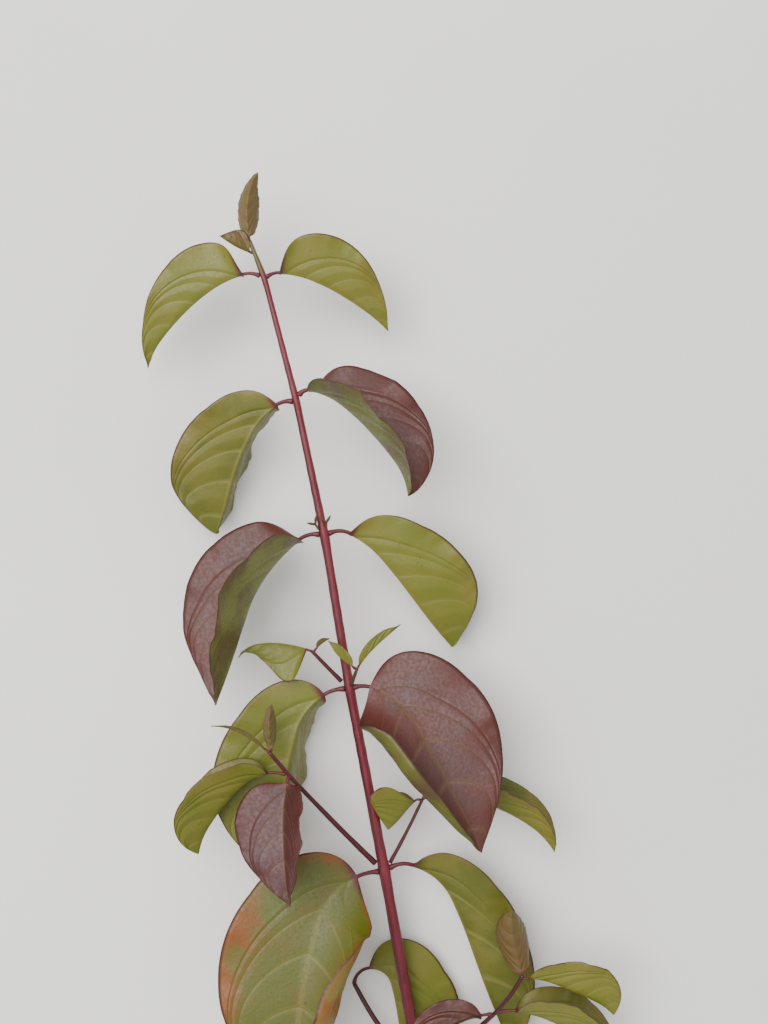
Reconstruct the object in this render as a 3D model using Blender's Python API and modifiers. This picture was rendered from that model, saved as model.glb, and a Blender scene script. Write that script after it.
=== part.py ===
"""A leafy shoot of midwinter fire dogwood, cut below its sixth node and lying on a level floor.

The main stem lies along Y, with its cut end towards -Y and its growing tip towards +Y. Leaves
stand in opposite pairs at its nodes, which are counted from the tip, and short side stems with
small leaves rise from the axils of the fourth to the sixth pair.

The tables hold lengths in millimetres and angles in degrees. A heading of 0 points along +X and
one of 90 along +Y, a tilt is the rise above the level, and a roll turns a leaf about its midrib:
0 lays its upper side upwards, 90 stands it on its right edge.
"""
import bmesh
import bpy
import numpy as np

MM = 0.001
GAP = 0.3

# Main stem: where the cut is, then each internode as its length, heading and rise
CUT_END = np.array((-4.0, -156.0, 10.0))
INTERNODES = (
    (14.0, 90.0, 0.0),
    (79.5, 89.5, 6.5),
    (72.0, 90.3, 5.0),
    (58.7, 88.8, 4.0),
    (51.0, 91.3, 3.0),
    (47.0, 94.1, 2.5),
    (15.0, 101.0, 1.0),
)
STEM_RADII = (2.6, 2.6, 2.4, 2.1, 1.9, 1.5, 1.2, 0.8)
COLLAR_SWELL = 1.22
COLLAR_REACH = 5.0

STEM_SIDES = 4
TWIG_SIDES = 2
SMALLEST_THICKNESS = 0.4
THICKNESS_SHARE = 0.0115
CREASE_SHARE = 0.08
STALK_BLEND = 0.04
BENT_FROM = 5
MARGIN_TAPER = 9
SECTION_STEPS = 24
PATH_STEPS = 161
WELD = 0.00001

FINISHES = {
    "bark_red": ((0.30, 0.055, 0.065), 0.45),
    "bark_dark": ((0.16, 0.03, 0.035), 0.5),
    "bark_olive": ((0.20, 0.17, 0.06), 0.5),
    "leaf_green": ((0.16, 0.17, 0.015), 0.5),
    "leaf_wine": ((0.11, 0.035, 0.018), 0.5),
    "leaf_autumn": ((0.22, 0.11, 0.015), 0.5),
    "leaf_young": ((0.20, 0.13, 0.06), 0.5),
}


def stem_places():
    """Positions of the cut end, the nodes from the sixth to the first, and the tip."""
    places = [CUT_END]
    for length, heading, rise in INTERNODES:
        turn = np.radians(heading)
        step = np.array((length * np.cos(turn), length * np.sin(turn), rise))
        places.append(places[-1] + step)
    return np.array(places)


PLACES = stem_places()
REACHES = np.append(0.0, np.cumsum(np.linalg.norm(np.diff(PLACES, axis=0), axis=1)))
NODE = {6 - k: REACHES[k + 1] / REACHES[-1] for k in range(7)}

# Side stems: what carries them and where, their course from its axis, and their end radii
SIDE_STEMS = {
    "side_stem_4_left": dict(
        on=("main_stem", NODE[4]), heading=(125, 122), tilt=(8, 8),
        length=20.5, radii=(1.0, 0.8), finish="bark_dark"),
    "side_stem_4_right": dict(
        on=("main_stem", NODE[4]), heading=(62, 60), tilt=(45, 45),
        length=13.0, radii=(0.9, 0.7), finish="bark_olive"),
    "side_stem_5_left": dict(
        on=("main_stem", NODE[5]), heading=(123, 121, 120, 116), tilt=(16, 16),
        length=68.0, radii=(1.3, 0.8), finish="bark_dark"),
    "side_stem_5_right": dict(
        on=("main_stem", NODE[5]), heading=(50, 56), tilt=(5, 5),
        length=32.5, radii=(0.9, 0.7), finish="bark_dark"),
    "side_stem_6_left": dict(
        on=("main_stem", NODE[6]), heading=(130, 124, 113, 108), tilt=(-3, -8),
        length=41.0, radii=(1.3, 1.0), finish="bark_dark"),
    "side_stem_6_right": dict(
        on=("main_stem", NODE[6]), heading=(30, 32, 40, 58), tilt=(20, 16),
        length=61.5, radii=(1.2, 0.8), finish="bark_dark"),
}


def leaf(on, stalk, heading, tilt, roll, length, width, fold, curl=((0,), (0,)),
         form=(0.5, 0.6, 0.5), ripple=(1.0, 3, 0.0), lobe=1.0, stalk_radius=0.75,
         finish="leaf_green"):
    """One leaf's sizes, its left half first where two are given.

    Heading and tilt start where the stalk leaves the stem's axis, and their other values are
    spread evenly from the foot of the blade to its tip. Width is each half's greatest breadth,
    fold the angle that each half rises at beside the midrib, and curl what it turns further
    out to the margin. Form holds the outline's powers at the foot and the tip.
    """
    return dict(
        on=on, stalk=stalk, heading=heading, tilt=tilt, roll=roll, length=length, width=width,
        fold=fold, curl=curl, form=form, ripple=ripple, lobe=lobe, stalk_radius=stalk_radius,
        finish=finish)


def small_leaf(on, stalk, heading, tilt, roll, length, width, fold, **more):
    """A young leaf: thin stalk, nearly straight margin."""
    young = dict(ripple=(0.1, 3, 0.0), lobe=0.0, stalk_radius=0.35, finish="leaf_young")
    young.update(more)
    return leaf(on, stalk, heading, tilt, roll, length, width, fold, **young)


LEAVES = {
    "leaf_1_left": leaf(
        ("main_stem", NODE[1]), 8.7, (130, 184, 203, 212, 218, 240), (5, -5, -25), (-105,),
        54, ((17.5,), (13,)), ((76, 62, 50), (62,)), form=(0.4, 1.0, 0.3), lobe=0.5,
        stalk_radius=0.6),
    "leaf_1_right": leaf(
        ("main_stem", NODE[1]), 6.2, (40, -11, -30, -39, -44, -54), (0, -8, -25), (105,),
        48, ((14,), (18.5,)), ((62,), (62,)), form=(0.5, 1.0, 0.3), lobe=0.5,
        stalk_radius=0.6),
    "leaf_2_left": leaf(
        ("main_stem", NODE[2]), 8.0, (150, 200, 228, 238, 244, 236), (0, -20, -11), (-160,),
        58, ((24,), (15.5,)), ((10,), (70,)), form=(0.6, 0.45, 0.5)),
    "leaf_2_right": leaf(
        ("main_stem", NODE[2]), 8.5, (80, -24, -50, -58, -64, -95), (5, 22, 0), (63,),
        57, ((21,), (21,)), ((54,), (46,)), form=(0.55, 0.55, 0.5), lobe=1.5,
        finish="leaf_wine"),
    "leaf_3_left": leaf(
        ("main_stem", NODE[3]), 10.0, (145, 208, 224, 243, 242, 238), (0, 12, 0), (-62,),
        70, ((26,), (22, 27, 29)), ((52,), (52,)), form=(0.45, 0.75, 0.5),
        finish="leaf_wine"),
    "leaf_3_right": leaf(
        ("main_stem", NODE[3]), 10.0, (30, -36, -60, -64, -64, -58), (0, -4, -24), (115,),
        62, ((18,), (25.5,)), ((45,), (60,)), form=(0.6, 0.45, 0.5)),
    "leaf_4_left": leaf(
        ("main_stem", NODE[4]), 10.0, (162, 200, 243, 252, 244, 241), (0, 5, -8), (-165,),
        71, ((27.5,), (20,)), ((10,), (62,)), form=(0.6, 0.5, 0.5)),
    "leaf_4_right": leaf(
        ("main_stem", NODE[4]), 9.0, (20, -20, -66, -72, -72, -77), (25, 25, 0), (20,),
        75, ((27.5,), (29, 29, 25, 22)), ((15,), (-15,)), ((0,), (60, 160, 180, 180)),
        form=(0.55, 0.85, 0.5), finish="leaf_wine"),
    "leaf_5_left": leaf(
        ("main_stem", NODE[5]), 11.0, (160, 190, 240, 250, 254, 252), (10, 18, 0), (-12,),
        86, ((36,), (32.5,)), ((5,), (12,)), ((20, 100, 150, 165, 160), (0,)),
        form=(0.62, 0.68, 0.5), finish="leaf_autumn"),
    "leaf_5_right": leaf(
        ("main_stem", NODE[5]), 11.0, (36, -26, -76, -82, -79, -76), (2, -6, -4), (112,),
        88, ((8,), (22,)), ((60,), (62,)), form=(0.65, 0.6, 0.5)),
    "leaf_6_left": leaf(
        ("main_stem", NODE[6]), 10.5, (165, 195, 222, 234, 240, 240), (5, 5, -10), (-78,),
        72, ((24,), (24,)), ((52,), (55,)), form=(0.55, 0.6, 0.5)),
    "leaf_6_right": leaf(
        ("main_stem", NODE[6]), 10.5, (10, -26, -52, -62, -68, -68), (5, 5, -6), (100,),
        74, ((15,), (24,)), ((50,), (60,)), form=(0.55, 0.6, 0.5)),
    "tip_leaf_upright": small_leaf(
        ("main_stem", 1.0), 1.5, (90, 88, 80, 68, 42), (10, 10, -5), (180,),
        24.5, ((6.2,), (6.2,)), ((35,), (35,)), curl=((40,), (40,)), form=(0.55, 0.8, 0.6)),
    "tip_leaf_left": small_leaf(
        ("main_stem", 0.985), 1.8, (150, 152, 140, 132), (0, 0, 0), (-100,),
        13, ((6.5,), (4,)), ((60,), (60,)), curl=((20,), (20,)), form=(0.7, 0.9, 0.6)),
    "side_4_left_big_leaf": small_leaf(
        ("side_stem_4_left", 1.0), 2.0, (150, 152, 162, 178, 230), (0, 0, 0), (105,),
        28, ((7,), (14, 14, 13)), ((60,), (62,)), form=(0.35, 1.5, 0.4),
        ripple=(0.5, 3, 0.0), lobe=0.5, finish="leaf_green"),
    "side_4_left_small_leaf": small_leaf(
        ("side_stem_4_left", 0.96), 2.2, (50, 35, 18), (0, 0, 0), (120,),
        6, ((1.6,), (1.8,)), ((60,), (60,)), form=(0.6, 0.8, 0.4)),
    "side_4_right_left_leaf": small_leaf(
        ("side_stem_4_right", 0.95), 2.0, (125, 130, 134, 114, 106), (10, 8, 0), (-100,),
        13.5, ((4,), (3,)), ((60,), (60,)), form=(0.7, 0.7, 0.5), finish="leaf_green"),
    "side_4_right_right_leaf": small_leaf(
        ("side_stem_4_right", 1.0), 1.5, (60, 46, 36, 30, 30), (10, 5, 0), (100,),
        22, ((2.6,), (3.4,)), ((65,), (65,)), form=(0.7, 0.8, 0.5), finish="leaf_green"),
    "side_5_left_red_leaf": leaf(
        ("side_stem_5_left", 0.8), 3.5, (235, 248, 262, 265, 272), (50, 28, 0), (-15,),
        44, ((14,), (17.5,)), ((45,), (12,)), form=(0.5, 1.0, 0.5), ripple=(0.8, 3.5, 0.0),
        stalk_radius=0.5, finish="leaf_wine"),
    "side_5_left_green_leaf": leaf(
        ("side_stem_5_left", 0.8), 8.0, (150, 175, 212, 222, 229, 250), (0, 5, -10), (-85,),
        42, ((15, 18, 19), (14.5,)), ((60,), (62,)), form=(0.7, 0.6, 0.5),
        ripple=(0.6, 3, 0.0), stalk_radius=0.5),
    "side_5_left_brown_leaf": small_leaf(
        ("side_stem_5_left", 0.97), 2.8, (88, 88, 80, 66), (15, 12, 0), (180,),
        17, ((3.6,), (3.6,)), ((50,), (50,)), form=(0.6, 0.8, 0.5)),
    "side_5_left_narrow_leaf": small_leaf(
        ("side_stem_5_left", 1.0), 1.5, (134, 132, 136, 152, 172), (0, 0, 0), (-100,),
        22.5, ((1.8,), (1.6,)), ((60,), (60,)), form=(0.6, 0.8, 0.5)),
    "side_5_right_small_leaf": small_leaf(
        ("side_stem_5_right", 0.96), 3.0, (125, 215, 222, 210), (10, 0, -5), (-100,),
        15, ((17,), (10,)), ((60,), (60,)), form=(0.5, 0.6, 0.3), ripple=(0.8, 1.5, 0.0),
        lobe=0.5, finish="leaf_green"),
    "side_5_right_big_leaf": small_leaf(
        ("side_stem_5_right", 1.0), 5.0, (20, -6, -24, -34, -46, -70), (0, 5, 0), (80,),
        52, ((12,), (12,)), ((60,), (60,)), form=(0.6, 0.6, 0.5), ripple=(0.5, 3, 0.0),
        lobe=0.5, stalk_radius=0.5, finish="leaf_green"),
    "side_6_left_leaf": leaf(
        ("side_stem_6_left", 1.0), 9.0, (75, -5, -86, -92, -92, -90), (-5, -3, 0),
        (118,), 48, ((6,), (25,)), ((80,), (65,)), form=(0.5, 0.5, 0.5),
        ripple=(0.4, 3, 0.0), lobe=0.3, stalk_radius=0.6),
    "side_6_right_young_leaf": small_leaf(
        ("side_stem_6_right", 1.0), 1.0, (92, 98, 93, 74), (10, 8, 5), (180,),
        25, ((9.5,), (9.5,)), ((28,), (28,)), curl=((60,), (60,)), form=(0.5, 0.6, 0.6)),
    "side_6_right_upper_leaf": small_leaf(
        ("side_stem_6_right", 0.97), 2.5, (0, -6, -30, -34, -37, -58), (5, 5, -5), (100,),
        35.5, ((12,), (15.5,)), ((60,), (62,)), form=(1.0, 0.6, 0.5), ripple=(0.6, 3, 0.0),
        finish="leaf_green"),
    "side_6_right_lower_leaf": leaf(
        ("side_stem_6_right", 0.64), 8.0, (12, -14, -31, -42, -56, -62), (0, 5, -5), (85,),
        45, ((14,), (15,)), ((60,), (60,)), form=(0.6, 0.65, 0.5), ripple=(0.6, 3, 0.0),
        lobe=0.5, stalk_radius=0.5),
    "side_6_right_left_leaf": leaf(
        ("side_stem_6_right", 0.64), 5.0, (175, 174, 200, 236, 252), (0, 8, 0), (-65,),
        38, ((14,), (10.5,)), ((52,), (52,)), form=(0.65, 0.7, 0.5), ripple=(0.6, 3, 0.0),
        lobe=0.5, stalk_radius=0.5, finish="leaf_wine"),
}

# Buds at the third node: the stalk's length and heading, then the two leaflets' headings
BUDS = {
    "bud_3_left": dict(heading=(120, 112), length=6.6, leaflets=(160, 75)),
    "bud_3_right": dict(heading=(62, 82), length=6.2, leaflets=(125, 48)),
}
BUD_TILT = 25
BUD_RADII = (0.5, 0.4)
LEAFLET_LENGTH = 3.4
LEAFLET_RADII = (0.42, 0.55, 0.22)


def direction(heading, tilt):
    """Unit vectors for headings and tilts in degrees."""
    turn = np.radians(heading)
    rise = np.radians(tilt)
    return np.stack((np.cos(rise) * np.cos(turn), np.cos(rise) * np.sin(turn), np.sin(rise)),
                    axis=-1)


def spread(values, share):
    """Values spread evenly from 0 to 1, read at each share."""
    return np.interp(share, np.linspace(0, 1, len(values)), values)


def travel(start, ahead, length):
    """Points of a course of this length that follows the directions ahead."""
    middles = (ahead[1:] + ahead[:-1]) / 2
    steps = np.vstack((np.zeros(3), np.cumsum(middles, axis=0)))
    return start + steps * length / (len(ahead) - 1)


def read_along(table, reach, where):
    """Rows of a table that belongs to the distances reach, read at the distances where."""
    columns = [np.interp(where, reach, table[:, k]) for k in range(table.shape[1])]
    return np.stack(columns, axis=-1)


def main_stem_course():
    """The main stem as points, directions, radii and distances from its cut end."""
    distances = [0.0]
    radii = [STEM_RADII[0]]
    for k in range(1, len(REACHES) - 1):
        radius = STEM_RADII[k]
        distances += [REACHES[k] - COLLAR_REACH, REACHES[k], REACHES[k] + COLLAR_REACH]
        radii += [radius, radius * COLLAR_SWELL, radius]
    distances.append(REACHES[-1])
    radii.append(STEM_RADII[-1])
    points = read_along(PLACES, REACHES, distances)
    ahead = np.diff(points, axis=0)
    ahead = np.vstack((ahead, ahead[-1]))
    ahead /= np.linalg.norm(ahead, axis=1)[:, None]
    return dict(points=points, ahead=ahead, radii=np.array(radii), reach=np.array(distances))


def place_on(course, share):
    """Position, direction and radius of a stem at a share of its length."""
    where = share * course["reach"][-1]
    position = read_along(course["points"], course["reach"], where)
    ahead = read_along(course["ahead"], course["reach"], where)
    radius = np.interp(where, course["reach"], course["radii"])
    return position, ahead / np.linalg.norm(ahead), radius


def seat_on(carrier, at, distances, points, ahead, radius):
    """How far along its course a stalk's flat end first clears the bark of its stem."""
    start, stem_ahead, _ = place_on(carrier, at)
    offset = points - start
    along = offset @ stem_ahead
    if at == 1.0:
        clearance = along - radius * np.sqrt(1 - np.clip(ahead @ stem_ahead, -1, 1) ** 2) - GAP
    else:
        sideways = offset - along[:, None] * stem_ahead
        far = np.linalg.norm(sideways, axis=1)
        lean = (ahead * sideways).sum(axis=1) / np.maximum(far, GAP)
        bark = np.interp(at * carrier["reach"][-1] + along, carrier["reach"], carrier["radii"])
        clearance = far - radius * np.sqrt(np.clip(1 - lean * lean, 0, 1)) - bark - GAP
    first = int(np.argmax(clearance >= 0))
    before = clearance[first - 1]
    share = before / (before - clearance[first])
    return distances[first - 1] + share * (distances[first] - distances[first - 1])


def side_stem_course(sizes, carrier):
    """A side stem as points, directions, radii and distances, clear of what carries it."""
    share = np.linspace(0, 1, PATH_STEPS)
    ahead = direction(spread(sizes["heading"], share), spread(sizes["tilt"], share))
    distances = share * sizes["length"]
    at = sizes["on"][1]
    points = travel(place_on(carrier, at)[0], ahead, sizes["length"])
    seat = seat_on(carrier, at, distances, points, ahead, sizes["radii"][0])
    stops = np.linspace(seat, sizes["length"], max(4, int(sizes["length"] / 8)))
    return dict(
        points=read_along(points, distances, stops),
        ahead=read_along(ahead, distances, stops),
        radii=spread(sizes["radii"], (stops - seat) / (stops[-1] - seat)),
        reach=stops - seat)


def leaf_course(sizes, carrier):
    """The line of a leaf's stalk and midrib: distances, points, directions and the seat."""
    share = np.linspace(0, 1, PATH_STEPS)
    whole = sizes["stalk"] + sizes["length"]
    distances = share * whole

    def along(values):
        knots = sizes["stalk"] + np.linspace(0, sizes["length"], len(values) - 1)
        return np.interp(distances, np.append(0.0, knots), values)

    ahead = direction(along(sizes["heading"]), along(sizes["tilt"]))
    at = sizes["on"][1]
    points = travel(place_on(carrier, at)[0], ahead, whole)
    seat = seat_on(carrier, at, distances, points, ahead, sizes["stalk_radius"])
    return distances, points, ahead, seat


def blade_outline(s, form):
    """Breadth of a blade from 0 at its foot and tip to 1 at its widest."""
    base, tip = form
    fine = np.linspace(0, 1, 401)
    full = (fine ** base * (1 - fine) ** tip).max()
    return s ** base * (1 - s) ** tip / full


def leaf_surface(sizes, carrier, d, t, h):
    """Points of a leaf at distance d from its seat, side t from -1 to 1 and layer h.

    The section at d starts at the midrib and turns away from the leaf's right and left by the
    fold within the crease and by the curl out to the margin. Its points are the running sums
    of that angle's cosine and sine. A layer lies h thicknesses above the middle of the blade.
    """
    distances, points, ahead, seat = leaf_course(sizes, carrier)
    where = seat + d
    rib = read_along(points, distances, where)
    forward = read_along(ahead, distances, where)
    forward /= np.linalg.norm(forward, axis=-1, keepdims=True)
    s = np.clip((where - sizes["stalk"]) / sizes["length"], 0, 1)

    up = np.array((0.0, 0.0, 1.0)) - forward * forward[..., 2:3]
    up /= np.linalg.norm(up, axis=-1, keepdims=True)
    left = np.cross(up, forward)
    turn = np.radians(spread(sizes["roll"], s))[..., None]
    upper = np.cos(turn) * up + np.sin(turn) * left
    right = np.cross(forward, upper)

    base, tip, taper = sizes["form"]
    outline = blade_outline(s, (base, tip)) * (1 - taper * s ** MARGIN_TAPER)
    stalk = np.where(where < sizes["stalk"], 1.0, np.exp(-s / STALK_BLEND))
    side = t >= 0
    a = np.abs(t)

    def half(name):
        return np.where(side, spread(sizes[name][1], s), spread(sizes[name][0], s))

    breadth = np.maximum(half("width") * outline, sizes["stalk_radius"] * (1 - s))
    thick = max(THICKNESS_SHARE * sizes["length"], SMALLEST_THICKNESS)
    bent = np.clip(breadth / (BENT_FROM * thick), 0, 1) * (1 - stalk)
    fold = np.radians(half("fold")) * bent
    curl = np.radians(half("curl")) * bent
    across = np.zeros_like(a)
    rise = np.zeros_like(a)
    for k in range(SECTION_STEPS):
        part = a * (k + 0.5) / SECTION_STEPS
        angle = fold * (1 - np.exp(-part / CREASE_SHARE)) + curl * part ** 1.5
        across += np.cos(angle) * a * breadth / SECTION_STEPS
        rise += np.sin(angle) * a * breadth / SECTION_STEPS
    angle = fold * (1 - np.exp(-a / CREASE_SHARE)) + curl * a ** 1.5

    height, waves, phase = sizes["ripple"]
    shift = np.where(side, 0.15, 0.0)
    wave = height * np.sqrt(np.sin(np.pi * s)) * a ** 3
    wave *= np.sin(2 * np.pi * (waves * s + phase + shift))
    round_stalk = 2 * sizes["stalk_radius"] * np.sqrt(1 - 0.8 * a * a)
    layer = h * (thick + (round_stalk - thick) * stalk) + wave
    across -= layer * np.sin(angle)
    rise += layer * np.cos(angle)
    back = sizes["lobe"] * a ** 1.3 * outline * np.exp(-s / 0.15) * 2.2 * (1 - stalk)

    sign = np.where(side, 1.0, -1.0)[..., None]
    surface = rib + sign * across[..., None] * right + rise[..., None] * upper
    return surface - back[..., None] * forward


def finish_material(name, finish):
    """A plain Principled material of its own for one piece."""
    colour, roughness = FINISHES[finish]
    material = bpy.data.materials.new(name + "_" + finish)
    material.use_nodes = True
    shader = material.node_tree.nodes["Principled BSDF"]
    shader.inputs["Base Color"].default_value = (*colour, 1.0)
    shader.inputs["Roughness"].default_value = roughness
    shader.inputs["Metallic"].default_value = 0.0
    return material


def tube(name, points, radii, sides):
    """A round stem as a bevelled curve with filled ends, its origin at its first point."""
    curve = bpy.data.curves.new(name, "CURVE")
    curve.dimensions = "3D"
    curve.bevel_depth = MM
    curve.bevel_resolution = sides
    curve.use_fill_caps = True
    spline = curve.splines.new("POLY")
    spline.points.add(len(points) - 1)
    for point, place, radius in zip(spline.points, points - points[0], radii):
        point.co = (*(place * MM), 1.0)
        point.radius = radius
    spline.use_smooth = True
    piece = bpy.data.objects.new(name, curve)
    piece.location = points[0] * MM
    PARTS.objects.link(piece)
    return piece


def as_mesh_piece(piece):
    """The same piece as a mesh with welded ends, in place of the curve."""
    name = piece.name
    graph = bpy.context.evaluated_depsgraph_get()
    graph.update()
    mesh = bpy.data.meshes.new_from_object(piece.evaluated_get(graph))
    shell = bmesh.new()
    shell.from_mesh(mesh)
    bmesh.ops.remove_doubles(shell, verts=shell.verts, dist=WELD)
    bmesh.ops.recalc_face_normals(shell, faces=shell.faces)
    shell.to_mesh(mesh)
    shell.free()
    solid = bpy.data.objects.new(name + "_solid", mesh)
    solid.matrix_world = piece.matrix_world.copy()
    PARTS.objects.link(solid)
    bpy.data.objects.remove(piece, do_unlink=True)
    solid.name = name
    return solid


def unite(body, others):
    """Join other solids to a body, apply the unions and remove what was joined."""
    for other in others:
        union = body.modifiers.new("union", "BOOLEAN")
        union.operation = "UNION"
        union.solver = "EXACT"
        union.object = other
    graph = bpy.context.evaluated_depsgraph_get()
    graph.update()
    joined = bpy.data.meshes.new_from_object(body.evaluated_get(graph))
    body.modifiers.clear()
    body.data = joined
    for other in others:
        bpy.data.objects.remove(other, do_unlink=True)


def make_stem(name, course, finish, sides):
    """A stem from its course, with its finish."""
    stem = tube(name, course["points"], course["radii"], sides)
    stem.data.materials.append(finish_material(name, finish))


def make_leaf(name, sizes, carrier):
    """A leaf as one slab: a flat grid made solid, then bent to the leaf's surface."""
    big = sizes["length"] > 40
    columns, rows, stalk_rows = (8, 10, 2) if big else (6, 6, 2)
    sheet = bmesh.new()
    bmesh.ops.create_grid(
        sheet, x_segments=columns, y_segments=rows + stalk_rows, size=1.0)
    mesh = bpy.data.meshes.new(name)
    sheet.to_mesh(mesh)
    sheet.free()
    piece = bpy.data.objects.new(name, mesh)
    PARTS.objects.link(piece)
    slab = piece.modifiers.new("thickness", "SOLIDIFY")
    slab.thickness = 1.0
    slab.offset = 0.0
    graph = bpy.context.evaluated_depsgraph_get()
    graph.update()
    mesh = bpy.data.meshes.new_from_object(piece.evaluated_get(graph))
    piece.modifiers.clear()
    piece.data = mesh

    flat = np.zeros(len(mesh.vertices) * 3)
    mesh.vertices.foreach_get("co", flat)
    x, y, h = flat.reshape(-1, 3).T
    t = np.sign(x) * np.abs(x) ** 1.5
    row = (y + 1) / 2 * (rows + stalk_rows)
    seat = leaf_course(sizes, carrier)[3]
    bare = sizes["stalk"] - seat
    share = np.clip((row - stalk_rows) / rows, 0, 1)
    blade = (1 - np.cos(np.pi * share)) / 2
    d = np.where(row < stalk_rows, bare * row / stalk_rows, bare + sizes["length"] * blade)
    surface = leaf_surface(sizes, carrier, d, t, h)
    foot = leaf_surface(sizes, carrier, np.zeros(1), np.zeros(1), np.zeros(1))[0]
    mesh.vertices.foreach_set("co", ((surface - foot) * MM).ravel())
    piece.location = foot * MM

    shell = bmesh.new()
    shell.from_mesh(mesh)
    bmesh.ops.remove_doubles(shell, verts=shell.verts, dist=WELD)
    shell.to_mesh(mesh)
    shell.free()
    mesh.shade_smooth()
    mesh.materials.clear()
    mesh.materials.append(finish_material(name, sizes["finish"]))


def make_bud(name, sizes, carrier):
    """A bud: a short stalk with two pointed leaflets united with its end."""
    share = np.linspace(0, 1, PATH_STEPS)
    ahead = direction(spread(sizes["heading"], share), np.full(PATH_STEPS, BUD_TILT))
    distances = share * sizes["length"]
    points = travel(place_on(carrier, NODE[3])[0], ahead, sizes["length"])
    seat = seat_on(carrier, NODE[3], distances, points, ahead, BUD_RADII[0])
    stops = np.linspace(seat, sizes["length"], 4)
    stalk = as_mesh_piece(tube(
        name, read_along(points, distances, stops), spread(BUD_RADII, np.linspace(0, 1, 4)),
        TWIG_SIDES))
    foot = read_along(points, distances, sizes["length"] - BUD_RADII[1])
    leaflets = []
    for k, heading in enumerate(sizes["leaflets"]):
        reach = LEAFLET_LENGTH * np.linspace(0, 1, 3)[:, None]
        line = foot + reach * direction(heading, BUD_TILT)
        leaflets.append(as_mesh_piece(tube(
            name + "_leaflet_" + str(k), line, LEAFLET_RADII, TWIG_SIDES)))
    unite(stalk, leaflets)
    stalk.data.materials.clear()
    stalk.data.materials.append(finish_material(name, "leaf_young"))


def build():
    """The whole shoot: main stem, side stems, leaves and buds."""
    courses = {"main_stem": main_stem_course()}
    make_stem("main_stem", courses["main_stem"], "bark_red", STEM_SIDES)
    for name, sizes in SIDE_STEMS.items():
        courses[name] = side_stem_course(sizes, courses[sizes["on"][0]])
        make_stem(name, courses[name], sizes["finish"], TWIG_SIDES)
    for name, sizes in LEAVES.items():
        make_leaf(name, sizes, courses[sizes["on"][0]])
    for name, sizes in BUDS.items():
        make_bud(name, sizes, courses["main_stem"])


for old in list(bpy.data.objects):
    bpy.data.objects.remove(old, do_unlink=True)
PARTS = bpy.data.collections.new("midwinter_fire_dogwood_shoot")
bpy.context.scene.collection.children.link(PARTS)
build()
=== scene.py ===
# %% [markdown]
# # A cut shoot of midwinter fire dogwood
#
# The shoot lies on a pale floor and is seen from straight above. This file gives it its looks, one
# step at a time: stems, leaves, buds, their finishes, and last the floor, light and camera.
#
# Lengths in the tables are millimetres and angles are degrees. A heading of 0 points along +X and
# one of 90 along +Y, a tilt is the rise above the level, and a roll turns a leaf about its midrib.
# The frame comes first, because every finished piece stands for one of its nodes.

import bmesh
import bpy
import numpy as np
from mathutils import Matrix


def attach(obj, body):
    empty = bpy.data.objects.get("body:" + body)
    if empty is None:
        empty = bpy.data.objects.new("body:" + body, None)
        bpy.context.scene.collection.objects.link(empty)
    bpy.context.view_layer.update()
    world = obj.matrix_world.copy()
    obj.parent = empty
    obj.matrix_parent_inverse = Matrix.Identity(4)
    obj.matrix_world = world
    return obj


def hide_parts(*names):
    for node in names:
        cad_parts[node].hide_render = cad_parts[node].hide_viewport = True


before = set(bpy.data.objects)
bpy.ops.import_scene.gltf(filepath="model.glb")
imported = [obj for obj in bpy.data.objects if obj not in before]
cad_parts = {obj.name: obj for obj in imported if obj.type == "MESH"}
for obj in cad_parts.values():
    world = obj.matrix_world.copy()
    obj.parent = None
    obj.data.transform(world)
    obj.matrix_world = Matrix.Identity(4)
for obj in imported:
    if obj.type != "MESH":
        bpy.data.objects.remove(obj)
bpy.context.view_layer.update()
print("frame nodes:", len(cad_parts))

# %% [markdown]
# ## Where everything grows
#
# A shoot is a line that turns a little at each node. The stem table holds each internode as its
# length, heading and rise. A side stem or leaf starts on the axis of what carries it and follows
# headings and tilts spread along its length, which suits a plant better than a list of points.

# %% Tables of the shoot
MM = 0.001
GAP = 0.3

# Main stem: where the cut is, then each internode as its length, heading and rise
CUT_END = np.array((-4.0, -156.0, 10.0))
INTERNODES = (
    (14.0, 90.0, 0.0),
    (79.5, 89.5, 6.5),
    (72.0, 90.3, 5.0),
    (58.7, 88.8, 4.0),
    (51.0, 91.3, 3.0),
    (47.0, 94.1, 2.5),
    (15.0, 101.0, 1.0),
)
STEM_RADII = (2.6, 2.6, 2.4, 2.1, 1.9, 1.5, 1.2, 0.8)
COLLAR_SWELL = 1.22
COLLAR_REACH = 5.0

# Leaves: a blade bends where it is broader than so many thicknesses of the frame's leaf, its crease
# and stalk reach this far, and it narrows late towards its tip
BLADE_THICKNESS = 0.36
SMALLEST_THICKNESS = 0.4
THICKNESS_SHARE = 0.0115
BENT_FROM = 5
CREASE_SHARE = 0.08
STALK_BLEND = 0.04
MARGIN_TAPER = 9

# Steps of a section's sums and of a course, and the distance in metres under which points weld
SECTION_STEPS = 24
PATH_STEPS = 161
WELD = 0.000005


def stem_places():
    """Positions of the cut end, the nodes from the sixth to the first, and the tip."""
    places = [CUT_END]
    for length, heading, rise in INTERNODES:
        turn = np.radians(heading)
        step = np.array((length * np.cos(turn), length * np.sin(turn), rise))
        places.append(places[-1] + step)
    return np.array(places)


PLACES = stem_places()
REACHES = np.append(0.0, np.cumsum(np.linalg.norm(np.diff(PLACES, axis=0), axis=1)))
NODE = {6 - k: REACHES[k + 1] / REACHES[-1] for k in range(7)}

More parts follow.
